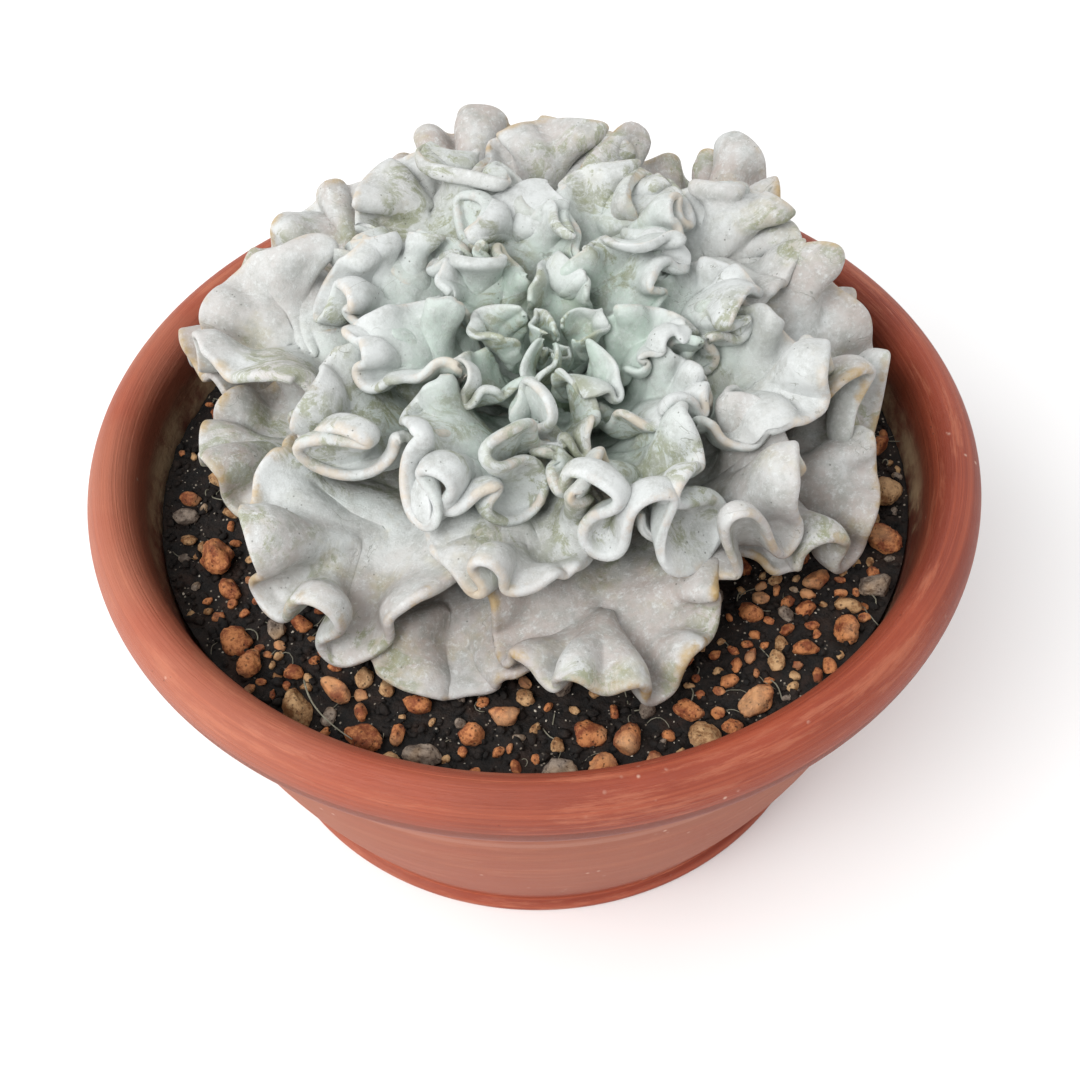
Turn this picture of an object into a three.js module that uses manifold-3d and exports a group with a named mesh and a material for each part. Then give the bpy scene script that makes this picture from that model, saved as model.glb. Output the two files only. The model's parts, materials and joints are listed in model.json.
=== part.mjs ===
// A ruffled echeveria growing in a wide, rolled-rim terracotta bowl.
// Millimetres, +Z up. The origin is the middle of the bowl's underside.
import * as THREE from 'three';
import { mergeVertices } from 'three/addons/utils/BufferGeometryUtils.js';
import Module from 'manifold-3d';

const wasm = await Module();
wasm.setup();

const GAP = 0.3; // between pieces that touch
const RADIANS = Math.PI / 180;

// Bowl
const RIM_RADIUS = 130;
const POT_HEIGHT = 120.6;
const RIM_ROLL_WIDTH = 15;
const RIM_ROLL_HEIGHT = 20.4;
const BODY_TOP_RADIUS = 119;
const BODY_FOOT_RADIUS = 94.3;
const BODY_BELLY = 9; // how far the wall's curve is pulled out of its chord
const FOOT_RADIUS = 97.6;
const FOOT_HEIGHT = 4;
const FOOT_RECESS_RADIUS = 82;
const FOOT_RECESS_DEPTH = 2;
const FLOOR_TOP = 10;
const FLOOR_RADIUS = 87;
const INNER_BELLY = 7;
const DRAIN_RADIUS = 11;
const POT_SIDES = 48;
const WALL_STEPS = 6;
const RIM_STEPS = 12;

// Potting mix
const MIX_EDGE_HEIGHT = 98;
const MIX_STEM_HEIGHT = 96;
const MIX_HOLLOW_RADIUS = 34; // the mix dips a little under the leaves

// Rosette: the crown stands a little off the bowl's axis and leans forward
const CROWN_OFFSET_X = 6;
const CROWN_OFFSET_Y = 11;
const CROWN_LEAN = 10 * RADIANS;
const ROOT_DEPTH = 26;
const ROOT_TAPER = 0.7; // width of the root's end against the stem above it
const LEAF_COUNT = 40;
const GOLDEN_ANGLE = Math.PI * (3 - Math.sqrt(5));
const FIRST_LEAF_AZIMUTH = 198 * RADIANS;
const HEART_HEIGHT = 138; // where the youngest leaf starts
const LEAF_SPACING = 1; // each older leaf starts this much lower
const HEART_RADIUS = 3.2;
const STEM_RADIUS = 11.2;
const STEM_SIDES = 16;
const LEAVES_PER_STEM_RING = 3;
const STEM_WIDENING = 8; // leaves until the stem is nearly full width
const LEAF_SEAT = 2.2; // a leaf's foot stands this far off the stem

// Leaves, from the youngest to the oldest
const HEART_LEAF_LENGTH = 8;
const FULL_LEAF_LENGTH = 97;
const FULL_GROWN_ORDER = 32;
const GROWTH_EASING = 1.3; // above 1, growth slows as a leaf nears full size
const LENGTH_SPREAD = 0.06;
const LENGTH_RHYTHM = 4.4; // radians from one leaf's length to the next one's
const LONG_SIDE_GAIN = 0.05; // the rosette reaches further on one side
const LONG_SIDE_AZIMUTH = 150 * RADIANS;
const LEAF_WIDTH_RATIO = 0.64;
const FOOT_WIDTH_RATIO = 0.22;
const WIDEST_AT = 0.66;
const END_ROUNDING = 1.04; // just past the tip, where the round end would close
const HEART_LIFT = 81 * RADIANS;
const GROWN_LIFT = 44 * RADIANS;
const LIFT_EASING = 4; // leaves over which the heart opens
const LIFT_LOSS = 0.5 * RADIANS; // per leaf, as they age
const ARCH = 0.25 * RADIANS; // bend per millimetre of leaf
const LEAF_THICKNESS = 2.8;
const EDGE_THICKNESS = 1.4;
const TIP_THINNING = 0.5;
const RIPPLE_HEIGHT = 0.6;
const RIPPLES_PER_EDGE = 2.5;
const RIPPLE_SHIFT = 1.7; // radians from one leaf's ripples to the next one's
const LEAF_ROWS = 7;
const LEAF_COLUMNS = 6;

// Clay granules lying on the mix, between the leaves and the rim
const GRANULES = [
  { azimuth: 14, reach: 107, size: 10, colour: 'orange' },
  { azimuth: -8, reach: 106, size: 12, colour: 'tan' },
  { azimuth: -18, reach: 106, size: 11, colour: 'orange' },
  { azimuth: -28, reach: 107, size: 10, colour: 'grey' },
  { azimuth: -38, reach: 106, size: 9, colour: 'orange' },
  { azimuth: -58, reach: 105, size: 11, colour: 'orange' },
  { azimuth: -67, reach: 107, size: 10, colour: 'tan' },
  { azimuth: -82, reach: 107, size: 9, colour: 'orange' },
  { azimuth: -107, reach: 106, size: 10, colour: 'grey' },
  { azimuth: -116, reach: 105, size: 11, colour: 'orange' },
  { azimuth: -127, reach: 106, size: 12, colour: 'tan' },
  { azimuth: -138, reach: 105, size: 9, colour: 'orange' },
  { azimuth: -160, reach: 98, size: 13, colour: 'orange' },
  { azimuth: -172, reach: 105, size: 8, colour: 'grey' },
];
const GRANULE_FLATNESS = 0.72;
const GRANULE_LUMPS = 0.1; // share of the size

const COLOURS = {
  terracotta: 0xc0603c,
  mix: 0x2c221b,
  stem: 0x7d6b4e,
  heartLeaf: 0xb4cdb4,
  grownLeaf: 0xb9c6cb,
  agedLeaf: 0xb3a39c,
  orange: 0xb5673a,
  tan: 0xb99b76,
  grey: 0x8d8780,
};

function matt(colour, roughness) {
  return new THREE.MeshStandardMaterial({ color: colour, roughness, metalness: 0 });
}

function named(name, geometry, material) {
  const mesh = new THREE.Mesh(geometry, material);
  mesh.name = name;
  return mesh;
}

// A lathe turned about +Z from a profile of radius and height
function turned(profile, sides) {
  const geometry = new THREE.LatheGeometry(profile, sides);
  return geometry.rotateX(Math.PI / 2);
}

// A control point that pulls a curve from one end to the other out by belly
function bellied(start, end, belly) {
  const chord = new THREE.Vector2().subVectors(end, start).normalize();
  const middle = new THREE.Vector2().addVectors(start, end).multiplyScalar(0.5);
  return new THREE.Vector2(middle.x + belly * Math.abs(chord.y), middle.y - belly * chord.x * Math.sign(chord.y));
}

function innerWall() {
  const top = new THREE.Vector2(RIM_RADIUS - RIM_ROLL_WIDTH, POT_HEIGHT - RIM_ROLL_HEIGHT / 2);
  const bottom = new THREE.Vector2(FLOOR_RADIUS, FLOOR_TOP);
  return new THREE.QuadraticBezierCurve(top, bellied(bottom, top, INNER_BELLY), bottom);
}

function outerWall() {
  const bottom = new THREE.Vector2(BODY_FOOT_RADIUS, FOOT_HEIGHT);
  const top = new THREE.Vector2(BODY_TOP_RADIUS, POT_HEIGHT - RIM_ROLL_HEIGHT);
  return new THREE.QuadraticBezierCurve(bottom, bellied(bottom, top, BODY_BELLY), top);
}

function rimRoll() {
  const middleRadius = RIM_RADIUS - RIM_ROLL_WIDTH / 2;
  const middleHeight = POT_HEIGHT - RIM_ROLL_HEIGHT / 2;
  const halfWidth = RIM_ROLL_WIDTH / 2;
  return new THREE.EllipseCurve(
    middleRadius, middleHeight, halfWidth, RIM_ROLL_HEIGHT / 2, -Math.PI / 2, Math.PI);
}

function potGeometry() {
  const drainEdge = new THREE.Vector2(DRAIN_RADIUS, FOOT_RECESS_DEPTH);
  const profile = [
    drainEdge,
    new THREE.Vector2(FOOT_RECESS_RADIUS, FOOT_RECESS_DEPTH),
    new THREE.Vector2(FOOT_RECESS_RADIUS + FOOT_RECESS_DEPTH, 0),
    new THREE.Vector2(FOOT_RADIUS, 0),
    new THREE.Vector2(FOOT_RADIUS, FOOT_HEIGHT),
    ...outerWall().getPoints(WALL_STEPS),
    ...rimRoll().getPoints(RIM_STEPS),
    ...innerWall().getPoints(WALL_STEPS).slice(1),
    new THREE.Vector2(DRAIN_RADIUS, FLOOR_TOP),
    drainEdge,
  ];
  return turned(profile, POT_SIDES);
}

// The stem's radius under the foot of the leaf of a given order
function stemRadius(order) {
  return leafFootRadius(order) - LEAF_SEAT;
}

function leafFootRadius(order) {
  return STEM_RADIUS - (STEM_RADIUS - HEART_RADIUS) * Math.exp(-order / STEM_WIDENING);
}

function leafFootHeight(order) {
  return HEART_HEIGHT - LEAF_SPACING * order;
}

// The stem stands on the rosette's own axis and roots a little way into the mix
function stemGeometry(clearance) {
  const profile = [new THREE.Vector2(0, HEART_HEIGHT - LEAF_SEAT + clearance)];
  for (let order = 0; order < LEAF_COUNT; order += LEAVES_PER_STEM_RING) {
    profile.push(new THREE.Vector2(stemRadius(order) + clearance, leafFootHeight(order) - LEAF_SEAT));
  }
  const rootEnd = MIX_STEM_HEIGHT - ROOT_DEPTH - clearance;
  profile.push(new THREE.Vector2(stemRadius(LEAF_COUNT) * ROOT_TAPER + clearance, rootEnd));
  profile.push(new THREE.Vector2(0, rootEnd));
  return turned(profile.reverse(), STEM_SIDES);
}

function leanLikeCrown(object) {
  const pivot = new THREE.Vector3(0, 0, MIX_STEM_HEIGHT);
  object.rotation.x = CROWN_LEAN;
  object.position.copy(pivot).sub(pivot.clone().applyEuler(object.rotation));
  object.position.x += CROWN_OFFSET_X;
  object.position.y += CROWN_OFFSET_Y;
  object.updateMatrix();
  return object;
}

function solidFrom(geometry) {
  const bare = geometry.clone();
  bare.deleteAttribute('normal');
  bare.deleteAttribute('uv');
  const merged = mergeVertices(bare);
  return new wasm.Manifold(new wasm.Mesh({
    numProp: 3,
    vertProperties: new Float32Array(merged.attributes.position.array),
    triVerts: new Uint32Array(merged.index.array),
  }));
}

function geometryFrom(solid) {
  const mesh = solid.getMesh();
  const geometry = new THREE.BufferGeometry();
  geometry.setAttribute('position', new THREE.BufferAttribute(mesh.vertProperties, 3));
  geometry.setIndex(new THREE.BufferAttribute(mesh.triVerts, 1));
  geometry.computeVertexNormals();
  return geometry;
}

// Potting mix fills the bowl, with a hole where the leaning stem roots into it
function mixGeometry() {
  const profile = [new THREE.Vector2(0, FLOOR_TOP + GAP)];
  const wall = innerWall().getPoints(2 * WALL_STEPS).reverse();
  for (const point of wall) {
    const height = point.y + GAP;
    if (height < MIX_EDGE_HEIGHT) {
      profile.push(new THREE.Vector2(point.x - GAP, height));
    }
  }
  const edgeRadius = profile[profile.length - 1].x;
  profile.push(new THREE.Vector2(edgeRadius, MIX_EDGE_HEIGHT));
  profile.push(new THREE.Vector2(edgeRadius - MIX_HOLLOW_RADIUS, MIX_EDGE_HEIGHT));
  profile.push(new THREE.Vector2(MIX_HOLLOW_RADIUS, MIX_STEM_HEIGHT));
  profile.push(new THREE.Vector2(0, MIX_STEM_HEIGHT));
  const socket = stemGeometry(GAP).applyMatrix4(leanLikeCrown(new THREE.Object3D()).matrix);
  return geometryFrom(solidFrom(turned(profile, POT_SIDES)).subtract(solidFrom(socket)));
}

function makeLeaf(order) {
  const growth = 1 - Math.pow(1 - Math.min(order / FULL_GROWN_ORDER, 1), GROWTH_EASING);
  const azimuth = FIRST_LEAF_AZIMUTH + GOLDEN_ANGLE * order;
  const lean = LONG_SIDE_GAIN * Math.cos(azimuth - LONG_SIDE_AZIMUTH);
  const habit = 1 + lean + LENGTH_SPREAD * Math.sin(order * LENGTH_RHYTHM);
  const length = (HEART_LEAF_LENGTH + (FULL_LEAF_LENGTH - HEART_LEAF_LENGTH) * growth) * habit;
  const opening = Math.exp(-order / LIFT_EASING);
  return {
    azimuth,
    footRadius: leafFootRadius(order),
    footHeight: leafFootHeight(order),
    lift: GROWN_LIFT - LIFT_LOSS * order + (HEART_LIFT - GROWN_LIFT) * opening,
    length,
    halfWidth: length * LEAF_WIDTH_RATIO / 2,
    thickness: LEAF_THICKNESS,
    ripple: RIPPLE_HEIGHT * growth,
    ripplePhase: order * RIPPLE_SHIFT,
  };
}

// Share of the full width at a point along the leaf: a narrow foot that
// swells to the widest part and closes in a round end
function outline(along) {
  if (along < WIDEST_AT) {
    const rise = Math.sin(along / WIDEST_AT * Math.PI / 2);
    return FOOT_WIDTH_RATIO + (1 - FOOT_WIDTH_RATIO) * rise * rise;
  }
  const beyond = (along - WIDEST_AT) / (END_ROUNDING - WIDEST_AT);
  return Math.sqrt(1 - beyond * beyond);
}

// A point of the leaf's middle sheet, moved off it by offset. The sheet is
// part of a surface turned about the stem, so older leaves lie under younger.
function leafPoint(leaf, along, across, offset) {
  const run = along * leaf.length;
  const lift = leaf.lift - ARCH * run;
  const radius = leaf.footRadius + (Math.sin(leaf.lift) - Math.sin(lift)) / ARCH;
  const height = leaf.footHeight + (Math.cos(lift) - Math.cos(leaf.lift)) / ARCH;
  const turn = leaf.azimuth + across * leaf.halfWidth * outline(along) / radius;
  const wave = Math.sin(along * RIPPLES_PER_EDGE * 2 * Math.PI + leaf.ripplePhase * Math.sign(across));
  const rise = offset + leaf.ripple * wave * Math.pow(Math.abs(across), 3);
  const reach = radius - rise * Math.sin(lift);
  return new THREE.Vector3(
    reach * Math.cos(turn), reach * Math.sin(turn), height + rise * Math.cos(lift));
}

// One closed section: the lower face from edge to edge, then the upper face back
function leafSection(leaf, along) {
  const lower = [];
  const upper = [];
  for (let column = 0; column <= LEAF_COLUMNS; column += 1) {
    const across = 2 * column / LEAF_COLUMNS - 1;
    const fullness = (1 - across * across) * (1 - TIP_THINNING * along);
    const half = (EDGE_THICKNESS + (leaf.thickness - EDGE_THICKNESS) * fullness) / 2;
    lower.push(leafPoint(leaf, along, across, -half));
    upper.push(leafPoint(leaf, along, across, half));
  }
  return [...lower, ...upper.reverse()];
}

function leafGeometry(leaf) {
  const sections = [];
  for (let row = 0; row <= LEAF_ROWS; row += 1) {
    sections.push(leafSection(leaf, Math.sin(row / LEAF_ROWS * Math.PI / 2)));
  }
  const count = sections[0].length;
  const corners = [];
  const at = (row, place) => row * count + place % count;
  const quad = (a, b, c, d) => corners.push(a, b, c, a, c, d);
  for (let row = 0; row < LEAF_ROWS; row += 1) {
    for (let place = 0; place < count; place += 1) {
      quad(at(row, place), at(row, place + 1), at(row + 1, place + 1), at(row + 1, place));
    }
  }
  for (let column = 0; column < LEAF_COLUMNS; column += 1) {
    const opposite = count - 1 - column;
    quad(at(0, column), at(0, opposite), at(0, opposite - 1), at(0, column + 1));
    quad(at(LEAF_ROWS, column), at(LEAF_ROWS, column + 1), at(LEAF_ROWS, opposite - 1), at(LEAF_ROWS, opposite));
  }
  const geometry = new THREE.BufferGeometry().setFromPoints(sections.flat());
  geometry.setIndex(corners);
  geometry.computeVertexNormals();
  return geometry;
}

function leafColour(order) {
  const age = order / (LEAF_COUNT - 1);
  const colour = new THREE.Color(COLOURS.heartLeaf);
  colour.lerp(new THREE.Color(COLOURS.grownLeaf), Math.min(age * 3, 1));
  return colour.lerp(new THREE.Color(COLOURS.agedLeaf), Math.max(age * 2 - 1, 0));
}

// A lumpy pebble of fired clay, flattened and lying on the mix
function granuleGeometry(size, seed) {
  const geometry = new THREE.IcosahedronGeometry(size / 2, 1);
  geometry.deleteAttribute('normal');
  geometry.deleteAttribute('uv');
  const merged = mergeVertices(geometry);
  const place = merged.attributes.position;
  const point = new THREE.Vector3();
  for (let index = 0; index < place.count; index += 1) {
    point.fromBufferAttribute(place, index);
    const lump = Math.sin(point.x + seed) * Math.cos(point.y - seed);
    point.multiplyScalar(1 - GRANULE_LUMPS + GRANULE_LUMPS * lump);
    point.z *= GRANULE_FLATNESS;
    place.setXYZ(index, point.x, point.y, point.z);
  }
  merged.computeVertexNormals();
  return merged;
}

const plant = new THREE.Group();

plant.add(named('pot', potGeometry(), matt(COLOURS.terracotta, 0.75)));
plant.add(named('potting_mix', mixGeometry(), matt(COLOURS.mix, 0.95)));

const crown = leanLikeCrown(new THREE.Group());
crown.add(named('stem', stemGeometry(0), matt(COLOURS.stem, 0.85)));
for (let order = 0; order < LEAF_COUNT; order += 1) {
  const name = `leaf_${String(order + 1).padStart(2, '0')}`;
  crown.add(named(name, leafGeometry(makeLeaf(order)), matt(leafColour(order), 0.6)));
}
plant.add(crown);

GRANULES.forEach((granule, index) => {
  const name = `granule_${String(index + 1).padStart(2, '0')}`;
  const mesh = named(name, granuleGeometry(granule.size, index), matt(COLOURS[granule.colour], 0.9));
  const azimuth = granule.azimuth * RADIANS;
  const height = MIX_EDGE_HEIGHT + GAP + granule.size / 2 * GRANULE_FLATNESS;
  mesh.position.set(granule.reach * Math.cos(azimuth), granule.reach * Math.sin(azimuth), height);
  mesh.rotation.z = index;
  plant.add(mesh);
});

export default plant;
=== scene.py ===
import json
import math

import bmesh
import bpy
import numpy as np
from mathutils import Matrix, Vector


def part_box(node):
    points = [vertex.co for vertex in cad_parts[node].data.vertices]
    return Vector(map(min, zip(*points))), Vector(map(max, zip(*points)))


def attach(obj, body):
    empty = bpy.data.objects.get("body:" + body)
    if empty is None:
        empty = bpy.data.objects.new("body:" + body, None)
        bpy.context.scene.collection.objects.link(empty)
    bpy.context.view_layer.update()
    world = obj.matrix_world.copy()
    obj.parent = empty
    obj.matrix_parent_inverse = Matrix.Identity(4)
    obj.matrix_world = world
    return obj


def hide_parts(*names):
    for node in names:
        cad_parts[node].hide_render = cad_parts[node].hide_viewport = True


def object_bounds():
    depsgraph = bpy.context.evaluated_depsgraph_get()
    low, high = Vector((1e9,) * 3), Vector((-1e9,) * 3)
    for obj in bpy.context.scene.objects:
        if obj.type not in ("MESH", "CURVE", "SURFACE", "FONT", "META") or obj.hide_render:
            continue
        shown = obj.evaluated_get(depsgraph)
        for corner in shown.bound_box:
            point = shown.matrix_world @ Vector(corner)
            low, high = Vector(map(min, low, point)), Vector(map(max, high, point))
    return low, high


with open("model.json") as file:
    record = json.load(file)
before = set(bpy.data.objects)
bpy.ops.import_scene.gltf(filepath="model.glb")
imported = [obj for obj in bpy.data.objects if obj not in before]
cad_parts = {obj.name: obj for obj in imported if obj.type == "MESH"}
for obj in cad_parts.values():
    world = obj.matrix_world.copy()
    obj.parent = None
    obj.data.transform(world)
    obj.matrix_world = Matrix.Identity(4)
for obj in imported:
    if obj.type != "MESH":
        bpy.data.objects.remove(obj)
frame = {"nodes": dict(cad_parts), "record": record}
cad_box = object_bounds()
slots = {piece["node"]: piece["material_slot"] for piece in frame["record"]["subparts"]}

MM = 0.001
LEAF_SEED = 400
GRANULE_SEED = 77
CRUMB_SEED = 31
FIBRE_SEED = 53
BROAD_GROUND_SEED = 5
FINE_GROUND_SEED = 6


# ---------------------------------------------------------------- finishes

class Signal:
    """A number that varies over a surface. Arithmetic on it adds Math nodes."""

    def __init__(self, finish, socket):
        self.finish = finish
        self.socket = socket

    def math(self, operation, *terms):
        node = self.finish.tree.nodes.new("ShaderNodeMath")
        node.operation = operation
        for place, term in enumerate(terms):
            self.finish.feed(node.inputs[place], term)
        return Signal(self.finish, node.outputs[0])

    def __add__(self, other):
        return self.math("ADD", self, other)

    def __radd__(self, other):
        return self.math("ADD", other, self)

    def __sub__(self, other):
        return self.math("SUBTRACT", self, other)

    def __rsub__(self, other):
        return self.math("SUBTRACT", other, self)

    def __mul__(self, other):
        return self.math("MULTIPLY", self, other)

    def __rmul__(self, other):
        return self.math("MULTIPLY", other, self)

    def smooth(self, low, high):
        """0 below low, 1 above high, and a smooth rise between."""
        return self.finish.node(
            "ShaderNodeMapRange", {"interpolation_type": "SMOOTHSTEP"},
            Value=self, **{"From Min": low, "From Max": high})


class Finish:
    """A procedural material for one of the plant's surfaces."""

    def __init__(self, name):
        self.material = bpy.data.materials.new(name)
        self.material.use_nodes = True
        self.tree = self.material.node_tree
        self.tree.nodes.clear()
        self.shader = self.tree.nodes.new("ShaderNodeBsdfPrincipled")
        output = self.tree.nodes.new("ShaderNodeOutputMaterial")
        self.tree.links.new(self.shader.outputs["BSDF"], output.inputs["Surface"])

    def feed(self, socket, source):
        if isinstance(source, Signal):
            self.tree.links.new(source.socket, socket)
        elif isinstance(source, tuple) and len(source) == 3 and socket.type == "RGBA":
            socket.default_value = (*source, 1)
        else:
            socket.default_value = source

    def node(self, kind, settings=None, out=0, **sources):
        """One node: its settings first, then the values or links of its sockets."""
        node = self.tree.nodes.new(kind)
        for name, value in (settings or {}).items():
            setattr(node, name, value)
        for name, source in sources.items():
            self.feed(node.inputs[name], source)
        return Signal(self, node.outputs[out])

    def place(self, stretch=(1, 1, 1)):
        """Position on the object, in metres, squeezed along some axes."""
        where = self.node("ShaderNodeTexCoord", out="Object")
        return self.node("ShaderNodeMapping", Vector=where, Scale=stretch)

    def noise(self, per_metre, detail=3.0, roughness=0.55, stretch=(1, 1, 1), warp=0.0, where=None):
        return self.node(
            "ShaderNodeTexNoise", Vector=where or self.place(stretch), Scale=per_metre,
            Detail=detail, Roughness=roughness, Distortion=warp)

    def cells(self, per_metre, stretch=(1, 1, 1)):
        """Distance to the nearest of some scattered points."""
        return self.node(
            "ShaderNodeTexVoronoi", {"feature": "F1"}, out="Distance",
            Vector=self.place(stretch), Scale=per_metre)

    def record(self, name):
        """A value stored on the mesh by the function that made it."""
        return self.node("ShaderNodeAttribute", {"attribute_name": name}, out="Fac")

    def mix(self, share, first, second):
        node = self.tree.nodes.new("ShaderNodeMix")
        node.data_type = "RGBA"
        self.feed(node.inputs[0], share)
        self.feed(node.inputs[6], first)
        self.feed(node.inputs[7], second)
        return Signal(self, node.outputs[2])

    def relief(self, height, depth, strength=1.0):
        return self.node("ShaderNodeBump", Height=height, Distance=depth, Strength=strength)

    def set(self, **sources):
        for name, source in sources.items():
            self.feed(self.shader.inputs[name.replace("_", " ")], source)
        return self.material


def paint(code):
    """A display colour written as six hexadecimal digits, as linear light."""
    shares = [int(code[i:i + 2], 16) / 255 for i in (0, 2, 4)]
    return tuple(s / 12.92 if s <= 0.04045 else ((s + 0.055) / 1.055) ** 2.4 for s in shares)


def leaf_skin():
    """Waxy bloom over green flesh: mint in the channels, cream along the edges,
    rubbed olive patches, fine scratches, and lilac and ochre on old leaves."""
    skin = Finish("leaf_bloom")
    edge = skin.record("edge_distance")
    along = skin.record("along")
    age = skin.record("age")
    under = skin.record("underside")
    broad = skin.noise(28, detail=4)
    fine = skin.noise(320, detail=5, roughness=0.7)

    channel = (1 - along.smooth(0.5, 1.0)) * (1 - age.smooth(0.45, 0.9) * 0.7)
    young = 1 - age.smooth(0.05, 0.4)
    green = channel * 0.75 + young * 0.45 + (broad - 0.5) * 0.5
    flesh = skin.mix(green.smooth(0.1, 1.0), paint("c9cccb"), paint("b1c1b6"))
    old = age.smooth(0.45, 0.85) * skin.noise(34, detail=4, roughness=0.6).smooth(0.3, 0.62)
    flesh = skin.mix(old * 0.85, flesh, paint("a6978f"))
    blotch = age.smooth(0.35, 0.8) * skin.noise(48, detail=4, roughness=0.65).smooth(0.52, 0.68)
    flesh = skin.mix(blotch * 0.65, flesh, paint("a89e7c"))
    flesh = skin.mix(under * 0.35, flesh, paint("aeb8b2"))

    streaks = skin.noise(80, detail=9, roughness=0.74, warp=1.6)
    rubbed = streaks.smooth(0.48, 0.55) * skin.noise(24, detail=2).smooth(0.5, 0.58)
    rubbed = rubbed * along.smooth(0.3, 0.55)
    flesh = skin.mix(rubbed * 0.8, flesh, paint("868a68"))
    mottle = skin.noise(150, detail=8, roughness=0.78).smooth(0.42, 0.66)
    flesh = skin.mix(mottle * (0.4 + age * 0.3), flesh, paint("93958f"))
    chalk = skin.noise(520, detail=6, roughness=0.8).smooth(0.48, 0.66)
    flesh = skin.mix(chalk * (0.35 + age * 0.25), flesh, paint("dcdfde"))
    scratch = skin.noise(34, detail=3, warp=2.5) - 0.5
    scratch = 1 - (scratch * scratch).smooth(0.0, 0.00004)
    scratch = scratch * skin.noise(55, detail=2).smooth(0.56, 0.64)
    flesh = skin.mix(scratch * 0.6, flesh, paint("6d6f62"))

    band = 1 - edge.smooth(0.3, 5.0) - (skin.noise(210, detail=4) - 0.5) * 0.8
    uneven = skin.noise(75, detail=5, roughness=0.65).smooth(0.4, 0.64)
    cream = skin.mix(uneven, paint("cdc3c2"), paint("c9bead"))
    cream = skin.mix(age.smooth(0.5, 0.85) * uneven, cream, paint("ab8f5c"))
    band = band * (0.25 + 0.75 * age.smooth(0.1, 0.4))
    flesh = skin.mix((band * (0.05 + 0.7 * uneven)).smooth(0.1, 0.9), flesh, cream)

    specks = 1 - skin.cells(420).smooth(0.05, 0.16)
    specks = specks * skin.noise(90, detail=2).smooth(0.54, 0.62)
    flesh = skin.mix(specks * 0.75, flesh, paint("4b4c40"))
    dusty = fine.smooth(0.35, 0.75)
    flesh = skin.mix(dusty * 0.22, flesh, paint("d8dbdb"))

    height = fine * 0.7 + skin.noise(1300, detail=2) * 0.15 + streaks * 0.8 + chalk * 0.15
    return skin.set(
        Base_Color=flesh, Roughness=0.55 + dusty * 0.2, Normal=skin.relief(height, 0.55 * MM, 0.7),
        Specular_IOR_Level=0.35)


# Heights on the bowl, in metres, between which a mark fades in or out.
RIM_UNDERSIDE = (0.097, 0.1015)
FOOT_FADE = (0.004, 0.02)
RING_LINE = ((0.0775, 0.079), (0.080, 0.0825))
# The painted shade inside the bowl fades out between these heights.
INNER_SHADE_EDGE = (0.106, 0.122)
CRUST_EDGE = (0.101, 0.1125)


def round_the_bowl(clay, sideways, upward):
    """A place on the bowl that follows its section, for marks that run all round."""
    return clay.node(
        "ShaderNodeCombineXYZ", X=clay.record("side_x") * sideways,
        Y=clay.record("side_y") * sideways, Z=clay.record("course") * upward)


def fired_clay():
    """Terracotta: orange-red at the rim, painted light on its left side, a dusty bloom on the wall,
    throwing lines, pale specks, painted shade inside the bowl, and a mineral crust above the mix."""
    clay = Finish("terracotta")
    height = clay.record("height")
    inside = clay.record("inside")
    cloud = clay.noise(16, detail=5)
    lines = clay.noise(1, detail=7, roughness=0.72, where=round_the_bowl(clay, 0.5, 800))
    smears = clay.noise(1, detail=7, roughness=0.75, where=round_the_bowl(clay, 2.5, 190))
    body = clay.mix(cloud.smooth(0.3, 0.7), paint("963f26"), paint("813420"))
    body = clay.mix(lines.smooth(0.45, 0.62) * 0.55, body, paint("ab5437"))
    body = clay.mix(smears.smooth(0.52, 0.64) * 0.5, body, paint("b86d50"))
    # Painted light: the left side of the bowl, which faces the lamps, is lightened in cloudy patches.
    painted_left_light = clay.record("side_x").smooth(0.3, -1.1) * cloud.smooth(0.2, 0.6)
    body = clay.mix(painted_left_light * 0.55, body, paint("b57156"))

    wall = (1 - height.smooth(*RIM_UNDERSIDE)) * height.smooth(*FOOT_FADE)
    bloom = wall * (0.35 + clay.noise(11, detail=6, roughness=0.65).smooth(0.3, 0.75) * 0.4)
    body = clay.mix(bloom, body, paint("9d5f46"))
    ring = height.smooth(*RING_LINE[0]) * (1 - height.smooth(*RING_LINE[1]))
    body = clay.mix(ring * 0.35, body, paint("b88673"))

    specks = 1 - clay.cells(260).smooth(0.06, 0.2)
    specks = specks * clay.noise(60, detail=2).smooth(0.58, 0.66)
    body = clay.mix(specks * 0.65, body, paint("d9b9a6"))
    pits = 1 - clay.cells(340, stretch=(1, 1, 1.7)).smooth(0.05, 0.15)
    pits = pits * clay.noise(75, detail=2, warp=0.5).smooth(0.62, 0.7)
    body = clay.mix(pits * 0.7, body, paint("5d2f22"))

    # Painted shade: the inside of the bowl is darkened, fading out towards the lip.
    painted_inner_shade = inside * (1 - height.smooth(*INNER_SHADE_EDGE))
    body = clay.mix(painted_inner_shade * 0.8, body, paint("562b1e"))
    crust = inside * (1 - height.smooth(*CRUST_EDGE))
    crust = crust * clay.noise(26, detail=7, roughness=0.7).smooth(0.42, 0.6)
    body = clay.mix(crust * 0.85, body, paint("b39a78"))

    relief = lines * 1.1 + smears * 0.5 + cloud * 0.6
    relief = relief + clay.noise(700, detail=3) * 0.2 - pits * 0.8 + crust * 0.9
    return clay.set(
        Base_Color=body, Roughness=0.4 + cloud * 0.14 + lines * 0.08 + wall * 0.16 + crust * 0.2,
        Normal=clay.relief(relief, 0.6 * MM, 0.8), Specular_IOR_Level=0.45)


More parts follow.
